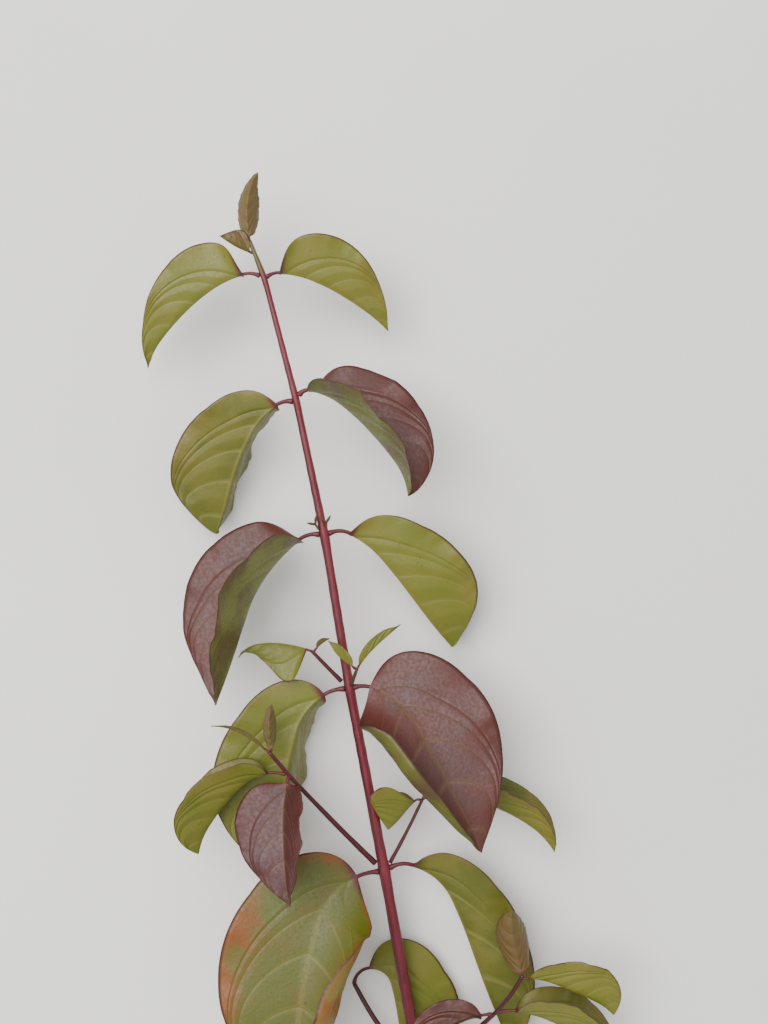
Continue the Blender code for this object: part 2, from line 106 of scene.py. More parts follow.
# Side stems: what carries them and where, their course from its axis, and their end radii
SIDE_STEMS = {
    "side_stem_4_left": dict(
        on=("main_stem", NODE[4]), heading=(125, 122), tilt=(8, 8),
        length=20.5, radii=(1.0, 0.8), finish="bark_dark"),
    "side_stem_4_right": dict(
        on=("main_stem", NODE[4]), heading=(62, 60), tilt=(45, 45),
        length=13.0, radii=(0.9, 0.7), finish="bark_olive"),
    "side_stem_5_left": dict(
        on=("main_stem", NODE[5]), heading=(123, 121, 120, 116), tilt=(16, 16),
        length=68.0, radii=(1.3, 0.8), finish="bark_dark"),
    "side_stem_5_right": dict(
        on=("main_stem", NODE[5]), heading=(50, 56), tilt=(5, 5),
        length=32.5, radii=(0.9, 0.7), finish="bark_dark"),
    "side_stem_6_left": dict(
        on=("main_stem", NODE[6]), heading=(130, 124, 113, 108), tilt=(-3, -8),
        length=41.0, radii=(1.3, 1.0), finish="bark_dark"),
    "side_stem_6_right": dict(
        on=("main_stem", NODE[6]), heading=(30, 32, 40, 58), tilt=(20, 16),
        length=61.5, radii=(1.2, 0.8), finish="bark_dark"),
}


def leaf(on, stalk, heading, tilt, roll, length, width, fold, curl=((0,), (0,)),
         form=(0.5, 0.6, 0.5), ripple=(1.0, 3, 0.0), lobe=1.0, stalk_radius=0.75,
         finish="leaf_green"):
    """One leaf's sizes, its left half first where two are given.

    Heading and tilt start where the stalk leaves the stem's axis, and their other values are
    spread evenly from the foot of the blade to its tip. Width is each half's greatest breadth,
    fold the angle that each half rises at beside the midrib, and curl what it turns further
    out to the margin. Form holds the outline's powers at the foot and the tip.
    """
    return dict(
        on=on, stalk=stalk, heading=heading, tilt=tilt, roll=roll, length=length, width=width,
        fold=fold, curl=curl, form=form, ripple=ripple, lobe=lobe, stalk_radius=stalk_radius,
        finish=finish)


def small_leaf(on, stalk, heading, tilt, roll, length, width, fold, **more):
    """A young leaf: thin stalk, nearly straight margin."""
    young = dict(ripple=(0.1, 3, 0.0), lobe=0.0, stalk_radius=0.35, finish="leaf_young")
    young.update(more)
    return leaf(on, stalk, heading, tilt, roll, length, width, fold, **young)


LEAVES = {
    "leaf_1_left": leaf(
        ("main_stem", NODE[1]), 8.7, (130, 184, 203, 212, 218, 240), (5, -5, -25), (-105,),
        54, ((17.5,), (13,)), ((76, 62, 50), (62,)), form=(0.4, 1.0, 0.3), lobe=0.5,
        stalk_radius=0.6),
    "leaf_1_right": leaf(
        ("main_stem", NODE[1]), 6.2, (40, -11, -30, -39, -44, -54), (0, -8, -25), (105,),
        48, ((14,), (18.5,)), ((62,), (62,)), form=(0.5, 1.0, 0.3), lobe=0.5,
        stalk_radius=0.6),
    "leaf_2_left": leaf(
        ("main_stem", NODE[2]), 8.0, (150, 200, 228, 238, 244, 236), (0, -20, -11), (-160,),
        58, ((24,), (15.5,)), ((10,), (70,)), form=(0.6, 0.45, 0.5)),
    "leaf_2_right": leaf(
        ("main_stem", NODE[2]), 8.5, (80, -24, -50, -58, -64, -95), (5, 22, 0), (63,),
        57, ((21,), (21,)), ((54,), (46,)), form=(0.55, 0.55, 0.5), lobe=1.5,
        finish="leaf_wine"),
    "leaf_3_left": leaf(
        ("main_stem", NODE[3]), 10.0, (145, 208, 224, 243, 242, 238), (0, 12, 0), (-62,),
        70, ((26,), (22, 27, 29)), ((52,), (52,)), form=(0.45, 0.75, 0.5),
        finish="leaf_wine"),
    "leaf_3_right": leaf(
        ("main_stem", NODE[3]), 10.0, (30, -36, -60, -64, -64, -58), (0, -4, -24), (115,),
        62, ((18,), (25.5,)), ((45,), (60,)), form=(0.6, 0.45, 0.5)),
    "leaf_4_left": leaf(
        ("main_stem", NODE[4]), 10.0, (162, 200, 243, 252, 244, 241), (0, 5, -8), (-165,),
        71, ((27.5,), (20,)), ((10,), (62,)), form=(0.6, 0.5, 0.5)),
    "leaf_4_right": leaf(
        ("main_stem", NODE[4]), 9.0, (20, -20, -66, -72, -72, -77), (25, 25, 0), (20,),
        75, ((27.5,), (29, 29, 25, 22)), ((15,), (-15,)), ((0,), (60, 160, 180, 180)),
        form=(0.55, 0.85, 0.5), finish="leaf_wine"),
    "leaf_5_left": leaf(
        ("main_stem", NODE[5]), 11.0, (160, 190, 240, 250, 254, 252), (10, 18, 0), (-12,),
        86, ((36,), (32.5,)), ((5,), (12,)), ((20, 100, 150, 165, 160), (0,)),
        form=(0.62, 0.68, 0.5), finish="leaf_autumn"),
    "leaf_5_right": leaf(
        ("main_stem", NODE[5]), 11.0, (36, -26, -76, -82, -79, -76), (2, -6, -4), (112,),
        88, ((8,), (22,)), ((60,), (62,)), form=(0.65, 0.6, 0.5)),
    "leaf_6_left": leaf(
        ("main_stem", NODE[6]), 10.5, (165, 195, 222, 234, 240, 240), (5, 5, -10), (-78,),
        72, ((24,), (24,)), ((52,), (55,)), form=(0.55, 0.6, 0.5)),
    "leaf_6_right": leaf(
        ("main_stem", NODE[6]), 10.5, (10, -26, -52, -62, -68, -68), (5, 5, -6), (100,),
        74, ((15,), (24,)), ((50,), (60,)), form=(0.55, 0.6, 0.5)),
    "tip_leaf_upright": small_leaf(
        ("main_stem", 1.0), 1.5, (90, 88, 80, 68, 42), (10, 10, -5), (180,),
        24.5, ((6.2,), (6.2,)), ((35,), (35,)), curl=((40,), (40,)), form=(0.55, 0.8, 0.6)),
    "tip_leaf_left": small_leaf(
        ("main_stem", 0.985), 1.8, (150, 152, 140, 132), (0, 0, 0), (-100,),
        13, ((6.5,), (4,)), ((60,), (60,)), curl=((20,), (20,)), form=(0.7, 0.9, 0.6)),
    "side_4_left_big_leaf": small_leaf(
        ("side_stem_4_left", 1.0), 2.0, (150, 152, 162, 178, 230), (0, 0, 0), (105,),
        28, ((7,), (14, 14, 13)), ((60,), (62,)), form=(0.35, 1.5, 0.4),
        ripple=(0.5, 3, 0.0), lobe=0.5, finish="leaf_green"),
    "side_4_left_small_leaf": small_leaf(
        ("side_stem_4_left", 0.96), 2.2, (50, 35, 18), (0, 0, 0), (120,),
        6, ((1.6,), (1.8,)), ((60,), (60,)), form=(0.6, 0.8, 0.4)),
    "side_4_right_left_leaf": small_leaf(
        ("side_stem_4_right", 0.95), 2.0, (125, 130, 134, 114, 106), (10, 8, 0), (-100,),
        13.5, ((4,), (3,)), ((60,), (60,)), form=(0.7, 0.7, 0.5), finish="leaf_green"),
    "side_4_right_right_leaf": small_leaf(
        ("side_stem_4_right", 1.0), 1.5, (60, 46, 36, 30, 30), (10, 5, 0), (100,),
        22, ((2.6,), (3.4,)), ((65,), (65,)), form=(0.7, 0.8, 0.5), finish="leaf_green"),
    "side_5_left_red_leaf": leaf(
        ("side_stem_5_left", 0.8), 3.5, (235, 248, 262, 265, 272), (50, 28, 0), (-15,),
        44, ((14,), (17.5,)), ((45,), (12,)), form=(0.5, 1.0, 0.5), ripple=(0.8, 3.5, 0.0),
        stalk_radius=0.5, finish="leaf_wine"),
    "side_5_left_green_leaf": leaf(
        ("side_stem_5_left", 0.8), 8.0, (150, 175, 212, 222, 229, 250), (0, 5, -10), (-85,),
        42, ((15, 18, 19), (14.5,)), ((60,), (62,)), form=(0.7, 0.6, 0.5),
        ripple=(0.6, 3, 0.0), stalk_radius=0.5),
    "side_5_left_brown_leaf": small_leaf(
        ("side_stem_5_left", 0.97), 2.8, (88, 88, 80, 66), (15, 12, 0), (180,),
        17, ((3.6,), (3.6,)), ((50,), (50,)), form=(0.6, 0.8, 0.5)),
    "side_5_left_narrow_leaf": small_leaf(
        ("side_stem_5_left", 1.0), 1.5, (134, 132, 136, 152, 172), (0, 0, 0), (-100,),
        22.5, ((1.8,), (1.6,)), ((60,), (60,)), form=(0.6, 0.8, 0.5)),
    "side_5_right_small_leaf": small_leaf(
        ("side_stem_5_right", 0.96), 3.0, (125, 215, 222, 210), (10, 0, -5), (-100,),
        15, ((17,), (10,)), ((60,), (60,)), form=(0.5, 0.6, 0.3), ripple=(0.8, 1.5, 0.0),
        lobe=0.5, finish="leaf_green"),
    "side_5_right_big_leaf": small_leaf(
        ("side_stem_5_right", 1.0), 5.0, (20, -6, -24, -34, -46, -70), (0, 5, 0), (80,),
        52, ((12,), (12,)), ((60,), (60,)), form=(0.6, 0.6, 0.5), ripple=(0.5, 3, 0.0),
        lobe=0.5, stalk_radius=0.5, finish="leaf_green"),
    "side_6_left_leaf": leaf(
        ("side_stem_6_left", 1.0), 9.0, (75, -5, -86, -92, -92, -90), (-5, -3, 0),
        (118,), 48, ((6,), (25,)), ((80,), (65,)), form=(0.5, 0.5, 0.5),
        ripple=(0.4, 3, 0.0), lobe=0.3, stalk_radius=0.6),
    "side_6_right_young_leaf": small_leaf(
        ("side_stem_6_right", 1.0), 1.0, (92, 98, 93, 74), (10, 8, 5), (180,),
        25, ((9.5,), (9.5,)), ((28,), (28,)), curl=((60,), (60,)), form=(0.5, 0.6, 0.6)),
    "side_6_right_upper_leaf": small_leaf(
        ("side_stem_6_right", 0.97), 2.5, (0, -6, -30, -34, -37, -58), (5, 5, -5), (100,),
        35.5, ((12,), (15.5,)), ((60,), (62,)), form=(1.0, 0.6, 0.5), ripple=(0.6, 3, 0.0),
        finish="leaf_green"),
    "side_6_right_lower_leaf": leaf(
        ("side_stem_6_right", 0.64), 8.0, (12, -14, -31, -42, -56, -62), (0, 5, -5), (85,),
        45, ((14,), (15,)), ((60,), (60,)), form=(0.6, 0.65, 0.5), ripple=(0.6, 3, 0.0),
        lobe=0.5, stalk_radius=0.5),
    "side_6_right_left_leaf": leaf(
        ("side_stem_6_right", 0.64), 5.0, (175, 174, 200, 236, 252), (0, 8, 0), (-65,),
        38, ((14,), (10.5,)), ((52,), (52,)), form=(0.65, 0.7, 0.5), ripple=(0.6, 3, 0.0),
        lobe=0.5, stalk_radius=0.5, finish="leaf_wine"),
}

# Buds at the third node: the stalk's length and heading, then the two leaflets' headings
BUDS = {
    "bud_3_left": dict(heading=(120, 112), length=6.6, leaflets=(160, 75)),
    "bud_3_right": dict(heading=(62, 82), length=6.2, leaflets=(125, 48)),
}
BUD_TILT = 25
BUD_RADII = (0.5, 0.4)
LEAFLET_LENGTH = 3.4
LEAFLET_RADII = (0.42, 0.55, 0.22)

print("side stems:", len(SIDE_STEMS), "leaves:", len(LEAVES), "buds:", len(BUDS))

# %% [markdown]
# ## Courses
#
# A course is the line that a stem or a leaf's midrib follows. Directions are summed step by step,
# so the line has its real length whatever way it bends. A stalk is seated where it clears the
# bark of its stem.

# %% Courses of stems and leaves


def direction(heading, tilt):
    """Unit vectors for headings and tilts in degrees."""
    turn = np.radians(heading)
    rise = np.radians(tilt)
    return np.stack((np.cos(rise) * np.cos(turn), np.cos(rise) * np.sin(turn), np.sin(rise)),
                    axis=-1)


def spread(values, share):
    """Values spread evenly from 0 to 1, read at each share."""
    return np.interp(share, np.linspace(0, 1, len(values)), values)


def travel(start, ahead, length):
    """Points of a course of this length that follows the directions ahead."""
    middles = (ahead[1:] + ahead[:-1]) / 2
    steps = np.vstack((np.zeros(3), np.cumsum(middles, axis=0)))
    return start + steps * length / (len(ahead) - 1)


def read_along(table, reach, where):
    """Rows of a table that belongs to the distances reach, read at the distances where."""
    columns = [np.interp(where, reach, table[:, k]) for k in range(table.shape[1])]
    return np.stack(columns, axis=-1)


def main_stem_course():
    """The main stem as points, directions, radii and distances from its cut end."""
    distances = [0.0]
    radii = [STEM_RADII[0]]
    for k in range(1, len(REACHES) - 1):
        radius = STEM_RADII[k]
        distances += [REACHES[k] - COLLAR_REACH, REACHES[k], REACHES[k] + COLLAR_REACH]
        radii += [radius, radius * COLLAR_SWELL, radius]
    distances.append(REACHES[-1])
    radii.append(STEM_RADII[-1])
    points = read_along(PLACES, REACHES, distances)
    ahead = np.diff(points, axis=0)
    ahead = np.vstack((ahead, ahead[-1]))
    ahead /= np.linalg.norm(ahead, axis=1)[:, None]
    return dict(points=points, ahead=ahead, radii=np.array(radii), reach=np.array(distances))


def place_on(course, share):
    """Position, direction and radius of a stem at a share of its length."""
    where = share * course["reach"][-1]
    position = read_along(course["points"], course["reach"], where)
    ahead = read_along(course["ahead"], course["reach"], where)
    radius = np.interp(where, course["reach"], course["radii"])
    return position, ahead / np.linalg.norm(ahead), radius


def seat_on(carrier, at, distances, points, ahead, radius):
    """How far along its course a stalk's flat end first clears the bark of its stem."""
    start, stem_ahead, _ = place_on(carrier, at)
    offset = points - start
    along = offset @ stem_ahead
    if at == 1.0:
        clearance = along - radius * np.sqrt(1 - np.clip(ahead @ stem_ahead, -1, 1) ** 2) - GAP
    else:
        sideways = offset - along[:, None] * stem_ahead
        far = np.linalg.norm(sideways, axis=1)
        lean = (ahead * sideways).sum(axis=1) / np.maximum(far, GAP)
        bark = np.interp(at * carrier["reach"][-1] + along, carrier["reach"], carrier["radii"])
        clearance = far - radius * np.sqrt(np.clip(1 - lean * lean, 0, 1)) - bark - GAP
    first = int(np.argmax(clearance >= 0))
    before = clearance[first - 1]
    share = before / (before - clearance[first])
    return distances[first - 1] + share * (distances[first] - distances[first - 1])


def side_stem_course(sizes, carrier):
    """A side stem as points, directions, radii and distances, clear of what carries it."""
    share = np.linspace(0, 1, PATH_STEPS)
    ahead = direction(spread(sizes["heading"], share), spread(sizes["tilt"], share))
    distances = share * sizes["length"]
    at = sizes["on"][1]
    points = travel(place_on(carrier, at)[0], ahead, sizes["length"])
    seat = seat_on(carrier, at, distances, points, ahead, sizes["radii"][0])
    stops = np.linspace(seat, sizes["length"], max(4, int(sizes["length"] / 8)))
    return dict(
        points=read_along(points, distances, stops),
        ahead=read_along(ahead, distances, stops),
        radii=spread(sizes["radii"], (stops - seat) / (stops[-1] - seat)),
        reach=stops - seat)


def leaf_course(sizes, carrier):
    """The line of a leaf's stalk and midrib: distances, points, directions and the seat."""
    share = np.linspace(0, 1, PATH_STEPS)
    whole = sizes["stalk"] + sizes["length"]
    distances = share * whole

    def along(values):
        knots = sizes["stalk"] + np.linspace(0, sizes["length"], len(values) - 1)
        return np.interp(distances, np.append(0.0, knots), values)

    ahead = direction(along(sizes["heading"]), along(sizes["tilt"]))
    at = sizes["on"][1]
    points = travel(place_on(carrier, at)[0], ahead, whole)
    seat = seat_on(carrier, at, distances, points, ahead, sizes["stalk_radius"])
    return distances, points, ahead, seat


def blade_outline(s, form):
    """Breadth of a blade from 0 at its foot and tip to 1 at its widest."""
    base, tip = form
    fine = np.linspace(0, 1, 401)
    full = (fine ** base * (1 - fine) ** tip).max()
    return s ** base * (1 - s) ** tip / full


print("main stem length in mm:", round(float(REACHES[-1]), 1))

# %% [markdown]
# ## Round stems
#
# A stem is a tube swept along its course. The course is read every millimetre and eased a little,
# so a node is a bend rather than a corner. The rings take their frame from the vertical, which
# suits stems that lie down, because it never lets them twist. The bark swells a little, both ends
# are closed, and a side stem starts inside the bark of what carries it.

# %% Stem pieces
RING = 28
ANGLES = np.linspace(0, 2 * np.pi, RING, endpoint=False)
STEP = 1.0
EASING = 5
SLENDER = 0.86
SUNK = 1.1
SWELLING = 0.025
CUT_BEVEL = 0.8
TIP_BEVEL = 0.6
TIP_DOME = 0.35


def tube_faces(rows):
    """Faces of a closed tube's wall: (i, j), (i, j + 1), (i + 1, j + 1), (i + 1, j)."""
    i, j = np.meshgrid(np.arange(rows - 1), np.arange(RING), indexing="ij")
    k = (j + 1) % RING
    quads = (i * RING + j, i * RING + k, (i + 1) * RING + k, (i + 1) * RING + j)
    return np.stack(quads, axis=-1).reshape(-1, 4)


def tube_surface(points, radii):
    """A tube: P(s, a) = C(s) + r(s, a) (cos a · N(s) + sin a · B(s)), N and B square to C'(s)."""
    ahead = np.gradient(points, axis=0)
    ahead /= np.linalg.norm(ahead, axis=1)[:, None]
    side = np.cross(ahead, np.array((0.0, 0.0, 1.0)))
    side /= np.linalg.norm(side, axis=1)[:, None]
    lift = np.cross(side, ahead)
    ring = (np.cos(ANGLES)[None, :, None] * side[:, None]
            + np.sin(ANGLES)[None, :, None] * lift[:, None])
    return points[:, None] + radii[:, :, None] * ring


def tube_facts(distance):
    """What a tube's finish reads at each point: its distance along, and cos a and sin a."""
    facts = np.broadcast_arrays(distance[:, None], np.cos(ANGLES)[None], np.sin(ANGLES)[None])
    return np.stack(facts, axis=-1).reshape(-1, 3)


def new_piece(name, points, faces, facts):
    """A closed mesh object at the origin, from points in millimetres and facts at each point."""
    mesh = bpy.data.meshes.new(name)
    mesh.from_pydata((points * MM).tolist(), [], faces.tolist())
    for key, value in facts.items():
        kind, field = ("FLOAT_VECTOR", "vector") if value.ndim == 2 else ("FLOAT", "value")
        attribute = mesh.attributes.new(key, kind, "POINT")
        attribute.data.foreach_set(field, value.astype(np.float32).ravel())
    shell = bmesh.new()
    shell.from_mesh(mesh)
    bmesh.ops.remove_doubles(shell, verts=shell.verts, dist=WELD)
    if shell.calc_volume(signed=True) < 0:
        bmesh.ops.reverse_faces(shell, faces=shell.faces)
    shell.to_mesh(mesh)
    shell.free()
    mesh.shade_smooth()
    piece = bpy.data.objects.new(name, mesh)
    bpy.context.scene.collection.objects.link(piece)
    return piece


def eased(course):
    """A course read every step and averaged over its neighbours, its ends kept in place."""
    whole = course["reach"][-1]
    where = np.linspace(0, whole, max(12, int(whole / STEP)))
    points = read_along(course["points"], course["reach"], where)
    radii = np.interp(where, course["reach"], course["radii"])
    kernel = np.hanning(2 * EASING + 3)
    kernel /= kernel.sum()
    pad = EASING + 1
    before = 2 * points[0] - points[1:pad + 1][::-1]
    after = 2 * points[-1] - points[-pad - 1:-1][::-1]
    padded = np.vstack((before, points, after))
    smooth = np.stack([np.convolve(padded[:, k], kernel, "valid") for k in range(3)], axis=-1)
    rounded = SLENDER * np.convolve(np.pad(radii, pad, "edge"), kernel, "valid")
    return where, smooth, rounded


def stem_piece(name, course):
    """A stem: the tube r(s, a) = r(s) (1 + k sin(0.55 s + 2 sin a + 3 sin 0.13 s)) with ends."""
    where, points, radii = eased(course)
    distance = where[:, None]
    swell = np.sin(0.55 * distance + 2 * np.sin(ANGLES) + 3 * np.sin(0.13 * distance))
    surface = tube_surface(points, radii[:, None] * (1 + SWELLING * swell))
    foot = np.broadcast_to(points[0], (1, RING, 3))
    cut = points[0] + (surface[:1] - points[0]) * CUT_BEVEL
    shoulder = points[-1] + (surface[-1:] - points[-1]) * TIP_BEVEL
    tip = np.broadcast_to(points[-1] + (points[-1] - points[-2]) * TIP_DOME, (1, RING, 3))
    rows = np.concatenate((foot, cut, surface, shoulder, tip))
    distance = np.concatenate((where[:1], where[:1], where, where[-1:], where[-1:]))
    return new_piece(name, rows.reshape(-1, 3), tube_faces(len(rows)),
                     dict(bark=tube_facts(distance)))


def sunk(course):
    """A side stem's course begun a little earlier, inside the bark of what carries it."""
    foot = course["points"][0] - SUNK * course["ahead"][0]
    return dict(
        points=np.vstack((foot, course["points"])),
        radii=np.append(course["radii"][0], course["radii"]),
        reach=np.append(0.0, course["reach"] + SUNK))


COURSES = {"main_stem": main_stem_course()}
STEMS = {"main_stem": stem_piece("main_stem_bark", COURSES["main_stem"])}
for name, sizes in SIDE_STEMS.items():
    COURSES[name] = side_stem_course(sizes, COURSES[sizes["on"][0]])
    STEMS[name] = stem_piece(name + "_bark", sunk(COURSES[name]))
print("stem pieces:", len(STEMS))
print("vertices in the main stem:", len(STEMS["main_stem"].data.vertices))

# %% [markdown]
# ## Leaves
#
# A leaf is one thin slab. Its section turns away from the level by a fold beside the midrib and a
# curl further out, and the section's points are the running sums of that angle's cosine and sine,
# so the blade keeps its breadth however far it curls. Lobes behind the stalk, a waved margin and
# a slight quilting that follows the veins keep it from looking like paper.

# %% Leaf pieces
STALK_ROWS = 14
BLADE_ROWS = 90
COLUMNS = 41
FOOT_FLARE = 0.5
FOOT_REACH = 1.2
LOBE_SPREAD = 2.2
LOBE_REACH = 0.15
RIGHT_SHIFT = 0.15
FULL_SIZE = 60.0
MARGIN_WAVE = 0.22
QUILTING = 0.28
RIDGE_WIDTH = 0.035
WAVE_STEP = 0.37

# The arched veins: their lean and bow away from the midrib, and how they crowd and count
VEIN_LEAN = 0.3
VEIN_BOW = 0.48
VEIN_CURVE = 2.4
VEIN_CROWDING = 0.75
VEIN_PAIRS = 5.0


def vein_phase(s, a):
    """Veins passed from the foot: n v^c with v = (s - w) / (1 - w) and w = lean a + bow a^curve."""
    w = VEIN_LEAN * a + VEIN_BOW * a ** VEIN_CURVE
    return VEIN_PAIRS * np.clip((s - w) / (1 - w), 0, 1) ** VEIN_CROWDING


def leaf_frame(sizes, carrier, d):
    """The midrib at distance d from the seat: place, forward, right, upper, s and stalk.

    Right and upper are the level's own, turned about forward by the roll. s is the share of the
    blade's length and stalk = e^(-s / blend) says how far a point still belongs to the stalk.
    """
    distances, points, ahead, seat = leaf_course(sizes, carrier)
    where = seat + d
    rib = read_along(points, distances, where)
    forward = read_along(ahead, distances, where)
    forward /= np.linalg.norm(forward, axis=-1, keepdims=True)
    s = np.clip((where - sizes["stalk"]) / sizes["length"], 0, 1)
    up = np.array((0.0, 0.0, 1.0)) - forward * forward[..., 2:3]
    up /= np.linalg.norm(up, axis=-1, keepdims=True)
    turn = np.radians(spread(sizes["roll"], s))[..., None]
    upper = np.cos(turn) * up + np.sin(turn) * np.cross(up, forward)
    stalk = np.where(where < sizes["stalk"], 1.0, np.exp(-s / STALK_BLEND))
    return rib, forward, np.cross(forward, upper), upper, s, stalk


def leaf_section(a, breadth, fold, curl):
    """A half's section: x and z are breadth times the sums of cos g and sin g from 0 to a.

    The angle is g(a) = fold (1 - e^(-a / crease)) + curl a^1.5.
    """
    def turned(part):
        return fold * (1 - np.exp(-part / CREASE_SHARE)) + curl * part ** 1.5

    across = np.zeros_like(a)
    rise = np.zeros_like(a)
    for k in range(SECTION_STEPS):
        angle = turned(a * (k + 0.5) / SECTION_STEPS)
        across += np.cos(angle) * a * breadth / SECTION_STEPS
        rise += np.sin(angle) * a * breadth / SECTION_STEPS
    return across, rise, turned(a)


def leaf_waves(sizes, s, a, on_right, stalk, seed):
    """How far the blade lies off its section: margin waves in a^3 and a^5, and quilting.

    The slow waves are ripple a^3 sin 2πns, the fine ones sum two sines of s, and the quilting is
    the square root of a nearness that is 1 on a vein and 0 midway between two.
    """
    height, waves, phase = sizes["ripple"]
    shift = np.where(on_right, RIGHT_SHIFT, 0.0)
    ends = np.sqrt(np.sin(np.pi * s))
    grown = np.clip(sizes["length"] / FULL_SIZE, 0, 1)
    slow = height * a ** 3 * np.sin(2 * np.pi * (waves * s + phase + shift))
    fine = (np.sin(2 * np.pi * (8.3 * s + seed))
            + 0.6 * np.sin(2 * np.pi * (13.7 * s + 2.7 * seed)))
    nearness = np.abs(np.mod(vein_phase(s, a) + 0.5, 1) - 0.5) * 2
    quilt = (1 - stalk) * np.sqrt(nearness) * np.clip(6 * a, 0, 1) * (1 - a ** 6)
    return ends * (slow + grown * (MARGIN_WAVE * a ** 5 * fine + QUILTING * quilt))


def leaf_points(sizes, carrier, d, t, h, seed):
    """A leaf's points: P = R(d) ± x(t) right + z(t) upper - lobe forward, with s and stalk.

    A layer h shifts a point along the section's normal by h times the thickness, which is the
    blade's, with a ridge under the midrib, or the round stalk's 2 r sqrt(1 - a²).
    """
    rib, forward, right, upper, s, stalk = leaf_frame(sizes, carrier, d)
    a = np.abs(t)
    on_right = t >= 0

    def half(key):
        return np.where(on_right, spread(sizes[key][1], s), spread(sizes[key][0], s))

    base, tip, taper = sizes["form"]
    outline = blade_outline(s, (base, tip)) * (1 - taper * s ** MARGIN_TAPER)
    radius = sizes["stalk_radius"] * (1 + FOOT_FLARE * np.exp(-np.maximum(d, 0) / FOOT_REACH))
    breadth = np.maximum(half("width") * outline, radius * (1 - s))
    stiff = BENT_FROM * max(THICKNESS_SHARE * sizes["length"], SMALLEST_THICKNESS)
    bent = np.clip(breadth / stiff, 0, 1) * (1 - stalk)
    across, rise, angle = leaf_section(
        a, breadth, np.radians(half("fold")) * bent, np.radians(half("curl")) * bent)

    grown = np.clip(sizes["length"] / FULL_SIZE, 0, 1)
    ridge = np.where(h < 0, grown * (1 - s) * np.exp(-(a / RIDGE_WIDTH) ** 2), 0)
    blade = BLADE_THICKNESS * (1 - 0.5 * a ** 8) + ridge
    round_stalk = 2 * radius * np.sqrt(np.clip(1 - a * a, 0, 1))
    thick = blade + (round_stalk - blade) * stalk
    layer = h * thick + leaf_waves(sizes, s, a, on_right, stalk, seed)
    across -= layer * np.sin(angle)
    rise += layer * np.cos(angle)
    lobe = sizes["lobe"] * LOBE_SPREAD * a ** 1.3 * outline * np.exp(-s / LOBE_REACH)
    sign = np.where(on_right, 1.0, -1.0)[..., None]
    surface = rib + sign * across[..., None] * right + rise[..., None] * upper
    return surface - (lobe * (1 - stalk))[..., None] * forward, s, stalk


def slab_faces(rows, columns):
    """Faces of a closed slab of two grids: the upper one, the lower one reversed, and the rims."""
    below = rows * columns
    i, j = np.meshgrid(np.arange(rows - 1), np.arange(columns - 1), indexing="ij")
    a = (i * columns + j).ravel()
    top = np.stack((a, a + 1, a + columns + 1, a + columns), axis=-1)
    faces = [top, top[:, ::-1] + below]
    down = np.arange(rows - 1) * columns
    over = np.arange(columns - 1)
    last_row = (rows - 1) * columns
    for edge, step, way in ((down, columns, 1), (down + columns - 1, columns, -1),
                            (over, 1, -1), (over + last_row, 1, 1)):
        rim = np.stack((edge, edge + step, edge + step + below, edge + below), axis=-1)
        faces.append(rim[:, ::way])
    return np.vstack(faces)


def leaf_piece(name, sizes, carrier, seed):
    """A leaf's mesh: rows closer at both ends of the blade, columns closer at the midrib.

    A blade's rows lie at (1 - cos πv) / 2 of its length. Its columns lie at t = ±|u|^1.35, and
    a stalk's at sin(πu / 2), so that the stalk is round.
    """
    bare = sizes["stalk"] - leaf_course(sizes, carrier)[3]
    rows = (1 - np.cos(np.pi * np.linspace(0, 1, BLADE_ROWS))) / 2
    d = np.concatenate((np.linspace(-SUNK, bare, STALK_ROWS, endpoint=False),
                        bare + sizes["length"] * rows))
    u = np.linspace(-1, 1, COLUMNS)
    stalked = np.exp(-np.maximum(d - bare, 0) / (STALK_BLEND * sizes["length"]))[:, None]
    t = (1 - stalked) * np.sign(u) * np.abs(u) ** 1.35 + stalked * np.sin(np.pi * u / 2)
    d = np.broadcast_to(d[:, None], t.shape)
    layers, places, stalks = [], [], []
    for h in (0.5, -0.5):
        points, s, stalk = leaf_points(sizes, carrier, d, t, np.full(t.shape, h), seed)
        layers.append(points.reshape(-1, 3))
        places.append(np.stack((s, t, np.full(t.shape, h + 0.5)), axis=-1).reshape(-1, 3))
        stalks.append(stalk.ravel())
    return new_piece(name, np.vstack(layers), slab_faces(*t.shape),
                     dict(blade=np.vstack(places), stalk=np.concatenate(stalks)))


BLADES = {}
for k, (name, sizes) in enumerate(LEAVES.items()):
    BLADES[name] = leaf_piece(name + "_blade", sizes, COURSES[sizes["on"][0]], WAVE_STEP * k)
print("leaf pieces:", len(BLADES), "faces in each:", len(BLADES["leaf_1_left"].data.polygons))

# %% [markdown]
# ## Buds
#
# Each bud is a short stalk with two pointed leaflets. All three are tubes whose radius swells and
# tapers, kept as one piece.

# %% Bud pieces
BUD_ROWS = 14


def bud_lines(sizes, carrier):
    """The middle lines and radii of a bud's stalk and of its two leaflets."""
    share = np.linspace(0, 1, PATH_STEPS)
    ahead = direction(spread(sizes["heading"], share), np.full(PATH_STEPS, BUD_TILT))
    distances = share * sizes["length"]
    points = travel(place_on(carrier, NODE[3])[0], ahead, sizes["length"])
    seat = seat_on(carrier, NODE[3], distances, points, ahead, BUD_RADII[0]) - SUNK
    rows = np.linspace(0, 1, BUD_ROWS)
    stops = seat + rows * (sizes["length"] - seat)
    lines = [(read_along(points, distances, stops), spread(BUD_RADII, rows))]
    foot = read_along(points, distances, sizes["length"] - BUD_RADII[1])
    for heading in sizes["leaflets"]:
        reach = LEAFLET_LENGTH * rows[:, None]
        lines.append((foot + reach * direction(heading, BUD_TILT), spread(LEAFLET_RADII, rows)))
    return lines


